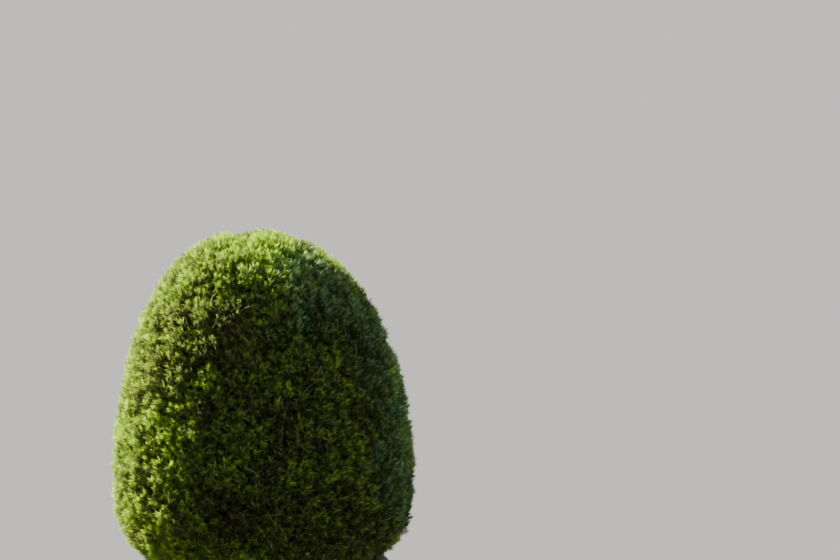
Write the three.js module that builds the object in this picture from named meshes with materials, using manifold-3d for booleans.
// Clipped dome topiary: a fine-leaved conifer grown in a round planter, with one leader, boughs in
// three tiers and a cap, and foliage clipped to one smooth outline. Millimetres, +Z up, origin in
// the middle of the planter's flat underside.

import * as THREE from "three";
import { mergeVertices } from "three/addons/utils/BufferGeometryUtils.js";
import Module from "manifold-3d";

const wasm = await Module();
wasm.setup();

// Driving dimensions
const CLEARANCE = 0.3; // between pieces that meet or rest on each other
const MERGE_DISTANCE = 0.001;
const GRID = 0.01; // corners of the finished solids are rounded to this
const ROUND_STEPS = 36; // facets round the planter and the soil

const POT_RADIUS = 252; // at the rolled rim
const POT_HEIGHT = 300;
const POT_WALL = 9;
const POT_FLOOR = 14;
const BASE_RADIUS = 156;
const LIP_DEPTH = 20; // thickness of the rolled rim
const LIP_WIDTH = 22;
const LEDGE_HEIGHT = 239; // fine ledge below the rim's cove
const LEDGE_RADIUS = 217;
const LEDGE_PROUD = 4;
const GROOVE_HEIGHT = 42; // fine groove above the foot
const GROOVE_RADIUS = 176;
const GROOVE_DEPTH = 1.6;

const SOIL_EDGE_HEIGHT = 262;
const SOIL_TOP = 270;

const DOME_RADIUS = 300; // to the tips of the foliage
const DOME_TOP = 970;
const DOME_WIDEST = 478; // height of the widest ring
const DOME_BOTTOM = 308;
const DOME_LEAN = -20; // sideways shift of the very top
const CORE_INSET = 36; // from the tips of the foliage to the dense core
const SHELL_DEPTH = 125; // from the tips of the foliage to the open hollow round the trunk
const CORE_BUMP = 5;
const CORE_ROWS = 11;
const CORE_STEPS = 26;
const HOLLOW_ROWS = 5;
const HOLLOW_STEPS = 16;
const MASS_GAP = 2; // between the cores of neighbouring masses

const TRUNK_TOP = 800;
const TRUNK_FOOT_RADIUS = 30; // across the root flare
const TRUNK_RADIUS = 18; // just above the root flare
const TRUNK_TIP_RADIUS = 6;
const FLARE_HEIGHT = 60;

// Each tier of boughs: how many, the height of their masses, where they leave the trunk, thickness
const TIERS = [
  { name: "low", count: 6, height: 385, start: 334, rootRadius: 8, tipRadius: 5 },
  { name: "middle", count: 7, height: 540, start: 452, rootRadius: 7.5, tipRadius: 4.5 },
  { name: "high", count: 5, height: 715, start: 625, rootRadius: 6, tipRadius: 4 },
];
const BOUGH_REACH = 44; // a bough's tip stops this far inside the hollow's wall
const START_STEP = 8; // neighbouring boughs leave the trunk at different heights
const STEM_LENGTH = 16;
const BRANCHLETS = 3; // forks of each mass's stem, each with one side twig
const BRANCHLET_SPREAD = 52; // from the middle of the mass to where they end in the core
const BRANCHLET_TIP_RADIUS = 1.8;
const SHOOTS = 146; // twigs that stand out of the cores, over the whole dome
const SPRAY_LENGTH = 62;
const SPRAY_WIDTH = 40;
const SPRAY_SPREAD = 22; // between the roots of a shoot's end spray and its side sprays
const SPRAY_THICKNESS = 5;
const SPRAY_ROLL = 1.2;
const SHOOT_FAN = 0.5; // angle between a shoot's end spray and each side spray
const SHOOT_JITTER = 0.3;
const TIP_SHORTFALL = 4; // at most this far inside the clipped outline
const SPRAY_LIFT = 0.75; // how far sprays on the sides turn upward

const UP = new THREE.Vector3(0, 0, 1);

const finish = {
  pot: { color: 0x8b9199, roughness: 0.42, metalness: 0.35 },
  soil: { color: 0x2b211a, roughness: 1, metalness: 0 },
  bark: { color: 0x5b4634, roughness: 0.9, metalness: 0 },
  foliage: { color: 0x6f8530, roughness: 0.75, metalness: 0 },
};

// A repeatable row of random numbers from 0 to 1
function seededRandom(seed) {
  let state = seed >>> 0;
  return () => {
    state = (Math.imul(state, 1664525) + 1013904223) >>> 0;
    return state / 4294967296;
  };
}

// Solids: three.js geometry to and from a solid that can be joined and cut
function toSolid(geometry) {
  const bare = geometry.clone();
  bare.deleteAttribute("normal");
  bare.deleteAttribute("uv");
  const merged = mergeVertices(bare, MERGE_DISTANCE);
  return new wasm.Manifold(
    new wasm.Mesh({
      numProp: 3,
      vertProperties: new Float32Array(merged.attributes.position.array),
      triVerts: new Uint32Array(merged.index.array),
    }),
  );
}

// The largest single body, with its corners on a fine grid: drops loose scraps and fills any
// hollow that joining sealed, again where moving the corners parts one more
function toGeometry(solid) {
  let geometry = null;
  let bodies = solid.decompose();
  for (let round = 0; round < 4; round += 1) {
    bodies.sort((a, b) => b.volume() - a.volume());
    const mesh = bodies[0].getMesh();
    const corners = mesh.vertProperties.map((value) => Math.round(value / GRID) * GRID);
    geometry = new THREE.BufferGeometry();
    geometry.setAttribute("position", new THREE.BufferAttribute(corners, 3));
    geometry.setIndex(new THREE.BufferAttribute(mesh.triVerts, 1));
    bodies = toSolid(geometry).decompose();
  }
  geometry.computeVertexNormals();
  return geometry;
}

function revolve(points, steps) {
  const geometry = new THREE.LatheGeometry(points, steps);
  return geometry.rotateX(Math.PI / 2);
}

// A tapering limb: a closed cylinder bent along a curve, its radius read from 0 to 1 along it
function limb(curve, radiusAt, sides, steps) {
  const geometry = new THREE.CylinderGeometry(1, 1, 1, sides, steps);
  const frames = curve.computeFrenetFrames(steps, false);
  const position = geometry.attributes.position;
  for (let i = 0; i < position.count; i += 1) {
    const along = THREE.MathUtils.clamp(0.5 - position.getY(i), 0, 1);
    const ring = Math.round(along * steps);
    const radius = radiusAt(along);
    const point = curve
      .getPoint(along)
      .addScaledVector(frames.normals[ring], position.getX(i) * radius)
      .addScaledVector(frames.binormals[ring], position.getZ(i) * radius);
    position.setXYZ(i, point.x, point.y, point.z);
  }
  return geometry;
}

function taper(start, end) {
  return (along) => THREE.MathUtils.lerp(start, end, along);
}

// Planter
function potOutside() {
  const outline = new THREE.Path();
  outline.moveTo(0, 0);
  outline.lineTo(BASE_RADIUS - 6, 0);
  outline.quadraticCurveTo(BASE_RADIUS, 0, BASE_RADIUS + 3, 8);
  outline.quadraticCurveTo(GROOVE_RADIUS - 6, GROOVE_HEIGHT - 16, GROOVE_RADIUS, GROOVE_HEIGHT - 3);
  outline.lineTo(GROOVE_RADIUS - GROOVE_DEPTH, GROOVE_HEIGHT);
  outline.lineTo(GROOVE_RADIUS + 1, GROOVE_HEIGHT + 3);
  outline.lineTo(LEDGE_RADIUS, LEDGE_HEIGHT - 6);
  outline.lineTo(LEDGE_RADIUS - GROOVE_DEPTH, LEDGE_HEIGHT - 3);
  outline.lineTo(LEDGE_RADIUS + LEDGE_PROUD, LEDGE_HEIGHT);
  outline.lineTo(LEDGE_RADIUS + LEDGE_PROUD, LEDGE_HEIGHT + 4);
  outline.quadraticCurveTo(
    LEDGE_RADIUS + 8,
    POT_HEIGHT - LIP_DEPTH - 6,
    POT_RADIUS - 8,
    POT_HEIGHT - LIP_DEPTH,
  );
  outline.quadraticCurveTo(
    POT_RADIUS,
    POT_HEIGHT - LIP_DEPTH + 1,
    POT_RADIUS,
    POT_HEIGHT - LIP_DEPTH / 2,
  );
  outline.quadraticCurveTo(POT_RADIUS, POT_HEIGHT, POT_RADIUS - LIP_WIDTH / 2, POT_HEIGHT);
  outline.quadraticCurveTo(
    POT_RADIUS - LIP_WIDTH,
    POT_HEIGHT,
    POT_RADIUS - LIP_WIDTH,
    POT_HEIGHT - LIP_DEPTH / 2,
  );
  return outline.getPoints(2);
}

// Inner wall of the planter at a height, which the soil follows
function potInnerRadius(height) {
  const innerBase = BASE_RADIUS + 4 - POT_WALL;
  const innerLedge = LEDGE_RADIUS - POT_WALL;
  return THREE.MathUtils.mapLinear(height, POT_FLOOR, LEDGE_HEIGHT, innerBase, innerLedge);
}

function makePot() {
  const inside = [LEDGE_HEIGHT + 20, POT_FLOOR].map(
    (height) => new THREE.Vector2(potInnerRadius(height), height),
  );
  const profile = [...potOutside(), ...inside, new THREE.Vector2(0, POT_FLOOR)];
  return toSolid(revolve(profile, ROUND_STEPS));
}

function makeSoil() {
  const lowest = POT_FLOOR + CLEARANCE;
  const wall = [lowest, SOIL_EDGE_HEIGHT - 4].map(
    (height) => new THREE.Vector2(potInnerRadius(height) - 2 * CLEARANCE, height),
  );
  const edge = potInnerRadius(SOIL_EDGE_HEIGHT);
  const profile = [
    new THREE.Vector2(0, lowest),
    ...wall,
    new THREE.Vector2(edge - 10, SOIL_EDGE_HEIGHT),
    new THREE.Vector2(edge * 0.5, SOIL_TOP - 2),
    new THREE.Vector2(TRUNK_FOOT_RADIUS * 2, SOIL_TOP),
    new THREE.Vector2(0, SOIL_TOP),
  ];
  return toSolid(revolve(profile, ROUND_STEPS));
}

// Clipped outline of the dome, set in by a distance, half of it below: fuller than an ellipse above
// its widest ring, squarer below it
function domeRadius(height, inset = 0) {
  const radius = DOME_RADIUS - inset;
  if (height >= DOME_WIDEST) {
    const rise = Math.min(1, (height - DOME_WIDEST) / (DOME_TOP - inset - DOME_WIDEST));
    return radius * (1 - rise ** 2) ** (1 / 2.3);
  }
  const drop = Math.min(1, (DOME_WIDEST - height) / (DOME_WIDEST - DOME_BOTTOM - inset / 2));
  return radius * (1 - drop ** 3) ** (1 / 4.4);
}

function domeLean(height) {
  const rise = Math.max(0, (height - DOME_WIDEST) / (DOME_TOP - DOME_WIDEST));
  return DOME_LEAN * rise ** 3;
}

function domePoint(azimuth, height, inset = 0) {
  const radius = domeRadius(height, inset);
  return new THREE.Vector3(
    domeLean(height) + radius * Math.cos(azimuth),
    radius * Math.sin(azimuth),
    height,
  );
}

// The same inside the crown, where nothing closes in below the widest ring
function shellPoint(azimuth, height, inset) {
  const radius = domeRadius(Math.max(height, DOME_WIDEST), inset);
  return new THREE.Vector3(
    domeLean(height) + radius * Math.cos(azimuth),
    radius * Math.sin(azimuth),
    height,
  );
}

function domeNormal(azimuth, height) {
  const step = 2;
  const above = domeRadius(Math.min(height + step, DOME_TOP));
  const below = domeRadius(Math.max(height - step, DOME_BOTTOM));
  const slope = (below - above) / (2 * step);
  return new THREE.Vector3(Math.cos(azimuth), Math.sin(azimuth), slope).normalize();
}

function insideDome(point) {
  const across = Math.hypot(point.x - domeLean(point.z), point.y);
  return point.z > DOME_BOTTOM && point.z < DOME_TOP && across <= domeRadius(point.z);
}

// Heights in rings from the top down that split the dome's clipped surface into equal areas
function evenHeights(count) {
  const steps = 600;
  const heights = [];
  const areas = [0];
  for (let i = 0; i <= steps; i += 1) {
    heights.push(THREE.MathUtils.lerp(DOME_TOP, DOME_BOTTOM, i / steps));
  }
  for (let i = 1; i <= steps; i += 1) {
    const upper = domeRadius(heights[i - 1]);
    const lower = domeRadius(heights[i]);
    const slant = Math.hypot(lower - upper, heights[i] - heights[i - 1]);
    areas.push(areas[i - 1] + (upper + lower) * slant);
  }
  const picked = [];
  for (let spot = 0; spot < count; spot += 1) {
    const wanted = ((spot + 0.5) / count) * areas[steps];
    picked.push(heights[areas.findIndex((area) => area >= wanted)]);
  }
  return picked;
}

// The dense core of the whole crown: a lumpy shell, open below, round a hollow with the limbs in it
function crownCore() {
  const lowest = DOME_BOTTOM + CORE_INSET / 2;
  const highest = DOME_TOP - CORE_INSET;
  const outer = [];
  for (let row = 0; row <= CORE_ROWS; row += 1) {
    const share = (1 - Math.cos((row / CORE_ROWS) * Math.PI)) / 2;
    const height = THREE.MathUtils.lerp(lowest, highest, share);
    const onAxis = row === 0 || row === CORE_ROWS;
    outer.push(new THREE.Vector2(onAxis ? 0 : domeRadius(height, CORE_INSET), height));
  }
  const geometry = revolve(outer, CORE_STEPS);
  const position = geometry.attributes.position;
  const middle = new THREE.Vector3(0, 0, DOME_WIDEST);
  for (let i = 0; i < position.count; i += 1) {
    const point = new THREE.Vector3().fromBufferAttribute(position, i);
    const bump = Math.sin(point.x / 31 + 1) * Math.sin(point.y / 29) * Math.sin(point.z / 37 + 2);
    const away = point.clone().sub(middle).normalize();
    point.addScaledVector(away, CORE_BUMP * bump);
    position.setXYZ(i, point.x + domeLean(point.z), point.y, point.z);
  }
  const hollow = [new THREE.Vector2(0, 0), new THREE.Vector2(DOME_RADIUS - SHELL_DEPTH, 0)];
  const hollowTop = DOME_TOP - SHELL_DEPTH;
  for (let row = 0; row <= HOLLOW_ROWS; row += 1) {
    const share = Math.sin((row / HOLLOW_ROWS) * (Math.PI / 2));
    const height = THREE.MathUtils.lerp(DOME_WIDEST, hollowTop, share);
    hollow.push(new THREE.Vector2(domeRadius(height, SHELL_DEPTH), height));
  }
  return toSolid(geometry).subtract(toSolid(revolve(hollow, HOLLOW_STEPS)));
}

// Trunk: a whole leader with a lobed root flare, level rings and a flat cut at the soil
function trunkCentre(height) {
  const along = (height - SOIL_TOP) / (TRUNK_TOP - SOIL_TOP);
  const bend = 7 * Math.sin(along * Math.PI * 1.6);
  return new THREE.Vector3(bend + DOME_LEAN * 0.3 * along, 5 * Math.sin(along * 4), height);
}

function trunkRadius(height, angle) {
  const along = (height - SOIL_TOP) / (TRUNK_TOP - SOIL_TOP);
  const flare = Math.max(0, 1 - (height - SOIL_TOP) / FLARE_HEIGHT) ** 2;
  const lobes = 1 + 0.14 * flare * Math.cos(4 * angle + 0.6);
  const plain = THREE.MathUtils.lerp(TRUNK_RADIUS, TRUNK_TIP_RADIUS, along);
  return (plain + (TRUNK_FOOT_RADIUS - TRUNK_RADIUS) * flare) * lobes;
}

function makeTrunk(extra = 0) {
  const foot = SOIL_TOP + CLEARANCE - extra;
  const top = TRUNK_TOP + extra;
  const geometry = new THREE.CylinderGeometry(1, 1, 1, 10, 14).rotateX(Math.PI / 2);
  const position = geometry.attributes.position;
  for (let i = 0; i < position.count; i += 1) {
    const along = position.getZ(i) + 0.5;
    const height = THREE.MathUtils.lerp(foot, top, along ** 1.35);
    const across = Math.hypot(position.getX(i), position.getY(i));
    const angle = Math.atan2(position.getY(i), position.getX(i));
    const radius = across < 0.5 ? 0 : trunkRadius(height, angle) + extra;
    const centre = trunkCentre(height);
    position.setXYZ(i, centre.x + radius * Math.cos(angle), centre.y + radius * Math.sin(angle), height);
  }
  return toSolid(geometry);
}

// Where each mass sits, with the bough that carries it; the cap is carried by the leader itself
function planMasses() {
  const plans = [];
  TIERS.forEach((tier, level) => {
    for (let k = 0; k < tier.count; k += 1) {
      const random = seededRandom(100 * (level + 1) + k);
      random();
      const turn = (k + 0.5 * level + 0.22 * (random() - 0.5)) / tier.count;
      const azimuth = turn * 2 * Math.PI + 0.2;
      const height = tier.height + 26 * (random() - 0.5);
      const order = ((3 * k) % tier.count) - (tier.count - 1) / 2;
      plans.push({
        name: `${tier.name}_${k + 1}`,
        azimuth,
        height,
        tier,
        centre: shellPoint(azimuth, height, (CORE_INSET + SHELL_DEPTH) / 2),
        start: trunkCentre(tier.start + START_STEP * order),
      });
    }
  });
  const capHeight = DOME_TOP - (CORE_INSET + SHELL_DEPTH) / 2;
  plans.push({
    name: "cap",
    azimuth: 0,
    height: capHeight,
    tier: null,
    centre: new THREE.Vector3(domeLean(capHeight), 0, capHeight),
  });
  return plans;
}

// A bough rises from the trunk and ends in the hollow, just short of the mass it carries
function boughCurve(plan) {
  const wall = domeRadius(Math.max(plan.height, DOME_WIDEST), SHELL_DEPTH);
  const reach = wall - BOUGH_REACH;
  const outward = new THREE.Vector3(Math.cos(plan.azimuth), Math.sin(plan.azimuth), 0);
  const tip = outward.clone().multiplyScalar(reach).setZ(plan.height - 14);
  const bend = plan.start.clone().addScaledVector(outward, reach * 0.6);
  bend.z += (tip.z - plan.start.z) * 0.3;
  return new THREE.QuadraticBezierCurve3(plan.start, bend, tip);
}

// The block of space that belongs to one mass, cut from the crown's core
function massCore(crown, plan, plans) {
  const size = 1600;
  let core = crown;
  for (const other of plans) {
    if (other !== plan) {
      const away = other.centre.clone().sub(plan.centre);
      const distance = away.length();
      const direction = away.normalize();
      const block = new THREE.BoxGeometry(size, size, size).translate(0, 0, -size / 2);
      block.applyQuaternion(new THREE.Quaternion().setFromUnitVectors(UP, direction));
      const face = plan.centre.clone().addScaledVector(direction, (distance - MASS_GAP) / 2);
      block.translate(face.x, face.y, face.z);
      core = core.intersect(toSolid(block));
    }
  }
  return core;
}

// True where a point keeps a margin inside the mass's own space
function inOwnSpace(point, plan, plans, margin) {
  const nearEnough = plans.every((other) => {
    if (other === plan) {
      return true;
    }
    const away = other.centre.clone().sub(plan.centre);
    const half = away.length() / 2;
    const along = point.clone().sub(plan.centre).dot(away.normalize());
    return along < half - margin;
  });
  return nearEnough && insideDome(point);
}

// True where a straight twig passes every limb with room to spare
function clearOfLimbs(from, to, limbs, room) {
  for (let step = 0; step <= 10; step += 1) {
    const point = from.clone().lerp(to, step / 10);
    for (const { points, radius } of limbs) {
      if (points.some((other) => other.distanceTo(point) < radius + room)) {
        return false;
      }
    }
  }
  return true;
}

// A spray of fine leaves as one toothed blade: three points, thickest in the middle
const SPRAY_OUTLINE = [
  [0, 0],
  [0.66, 0.5],
  [0.7, 0.17],
  [1, 0],
  [0.74, -0.17],
  [0.6, -0.5],
];

function sprayCorners(root, direction, side, length) {
  const width = SPRAY_WIDTH * (length / SPRAY_LENGTH);
  const corners = SPRAY_OUTLINE.map(([along, across]) =>
    root
      .clone()
      .addScaledVector(direction, along * length)
      .addScaledVector(side, across * width),
  );
  const face = new THREE.Vector3().crossVectors(direction, side);
  const middle = root.clone().addScaledVector(direction, 0.5 * length);
  corners.push(middle.clone().addScaledVector(face, SPRAY_THICKNESS / 2));
  corners.push(middle.clone().addScaledVector(face, -SPRAY_THICKNESS / 2));
  return corners;
}

function spraySolid(corners) {
  const rim = SPRAY_OUTLINE.length;
  const faces = [];
  for (let i = 0; i < rim; i += 1) {
    const next = (i + 1) % rim;
    faces.push(next, i, rim);
    faces.push(i, next, rim + 1);
  }
  const geometry = new THREE.BufferGeometry();
  const values = corners.flatMap((corner) => corner.toArray());
  geometry.setAttribute("position", new THREE.Float32BufferAttribute(values, 3));
  geometry.setIndex(faces);
  return toSolid(geometry);
}

// The spots on the clipped outline where shoots reach daylight, on an even spiral
function shootSpots() {
  const golden = Math.PI * (3 - Math.sqrt(5));
  return evenHeights(SHOOTS).map((height, spot) => ({
    azimuth: spot * golden,
    tip: domePoint(spot * golden, height),
    normal: domeNormal(spot * golden, height),
  }));
}

// One shoot: an end spray that reaches the clipped outline, and a side spray each way, all rooted
// deep in the core; a spray that would leave the mass's own space is shortened, or else skipped
function shootPieces(spot, random, allowed) {
  const pieces = [];
  const lift = SPRAY_LIFT * (1 - Math.max(0, spot.normal.z));
  const axis = spot.normal.clone().addScaledVector(UP, lift);
  axis.x += SHOOT_JITTER * (random() - 0.5);
  axis.y += SHOOT_JITTER * (random() - 0.5);
  axis.normalize();
  const tip = spot.tip.clone().addScaledVector(axis, -0.2 - TIP_SHORTFALL * random());
  const roll = SPRAY_ROLL * (random() - 0.5);
  const round = new THREE.Vector3(-Math.sin(spot.azimuth), Math.cos(spot.azimuth), 0);
  const side = round.addScaledVector(axis, -round.dot(axis)).normalize().applyAxisAngle(axis, roll);
  for (const fan of [0, 1, -1]) {
    const angle = SHOOT_FAN * fan;
    const length = SPRAY_LENGTH * (fan === 0 ? 1 : 0.9 + 0.1 * random());
    const direction = axis.clone().multiplyScalar(Math.cos(angle));
    direction.addScaledVector(side, Math.sin(angle));
    const root = tip.clone().addScaledVector(axis, -SPRAY_LENGTH);
    root.addScaledVector(side, SPRAY_SPREAD * fan);
    const blade = side.clone().applyAxisAngle(axis, 0.4 * fan);
    const across = blade.addScaledVector(direction, -blade.dot(direction)).normalize();
    const fitting = [1, 0.9, 0.8]
      .map((share) => sprayCorners(root, direction, across, length * share))
      .find(allowed);
    if (fitting) {
      pieces.push(spraySolid(fitting));
    }
  }
  return pieces;
}

// A mass: one stem, forking to branchlets that enter the core, and shoots that stand out of it
function makeMass(plan, plans, crown, limbs, spots) {
  const random = seededRandom(7000 + plans.indexOf(plan));
  random();
  const curve = plan.curve;
  const tip = curve.getPoint(1);
  const heading = curve.getTangent(1);
  const stemStart = tip.clone().addScaledVector(heading, CLEARANCE);
  const hub = stemStart.clone().addScaledVector(heading, STEM_LENGTH);
  const stemRadius = plan.tipRadius;
  const stemLine = new THREE.LineCurve3(stemStart, hub);
  let solid = massCore(crown, plan, plans);
  solid = solid.add(toSolid(limb(stemLine, taper(stemRadius, stemRadius * 0.8), 6, 1)));

  const carrier = plan.tier ? plan.name : "trunk";
  const otherLimbs = limbs.filter((one) => one.name !== carrier);
  const side = new THREE.Vector3(0.1, 0.3, 1).cross(heading).normalize();
  for (let fork = 0; fork < BRANCHLETS; fork += 1) {
    const turn = ((fork + 0.5 * random()) / BRANCHLETS) * 2 * Math.PI;
    const spread = side.clone().applyAxisAngle(heading, turn).multiplyScalar(BRANCHLET_SPREAD);
    const deep = plan.centre.clone().add(spread);
    const start = hub.clone().addScaledVector(heading, -3);
    const twigStart = start.clone().lerp(deep, 0.4);
    const aside = spread.clone().applyAxisAngle(heading, 1).multiplyScalar(0.9);
    const runs = [
      { from: start, to: deep, radius: stemRadius * 0.75 },
      { from: twigStart, to: plan.centre.clone().add(aside), radius: stemRadius * 0.5 },
    ];
    for (const { from, to, radius } of runs) {
      if (inOwnSpace(to, plan, plans, 12) && clearOfLimbs(from, to, otherLimbs, 5)) {
        const line = new THREE.LineCurve3(from, to);
        solid = solid.add(toSolid(limb(line, taper(radius, BRANCHLET_TIP_RADIUS), 3, 1)));
      }
    }
  }

  const allowed = (corners) => corners.every((corner) => inOwnSpace(corner, plan, plans, 1));
  for (const spot of spots) {
    if (inOwnSpace(spot.tip.clone().addScaledVector(spot.normal, -8), plan, plans, 2)) {
      for (const piece of shootPieces(spot, random, allowed)) {
        solid = solid.add(piece);
      }
    }
  }
  return solid;
}

const plant = new THREE.Group();

function addPart(name, solid, look) {
  const mesh = new THREE.Mesh(toGeometry(solid), new THREE.MeshStandardMaterial(look));
  mesh.name = name;
  plant.add(mesh);
}

addPart("pot", makePot(), finish.pot);
addPart("soil", makeSoil(), finish.soil);
addPart("trunk", makeTrunk(), finish.bark);

const trunkRoom = makeTrunk(CLEARANCE);
const plans = planMasses();
const limbs = [];
const trunkPoints = [];
for (let height = SOIL_TOP; height <= TRUNK_TOP; height += 10) {
  trunkPoints.push(trunkCentre(height));
}
limbs.push({ name: "trunk", points: trunkPoints, radius: TRUNK_RADIUS });

for (const plan of plans) {
  if (plan.tier) {
    const { rootRadius, tipRadius } = plan.tier;
    plan.curve = boughCurve(plan);
    plan.tipRadius = tipRadius;
    limbs.push({ name: plan.name, points: plan.curve.getPoints(24), radius: rootRadius });
    const bough = toSolid(limb(plan.curve, taper(rootRadius, tipRadius), 5, 4));
    addPart(`bough_${plan.name}`, bough.subtract(trunkRoom), finish.bark);
  } else {
    const tip = trunkCentre(TRUNK_TOP);
    plan.curve = new THREE.LineCurve3(tip.clone().setZ(TRUNK_TOP - 10), tip);
    plan.tipRadius = TRUNK_TIP_RADIUS;
  }
}

const crown = crownCore();
const spots = shootSpots();
for (const plan of plans) {
  addPart(`mass_${plan.name}`, makeMass(plan, plans, crown, limbs, spots), finish.foliage);
}

export default plant;
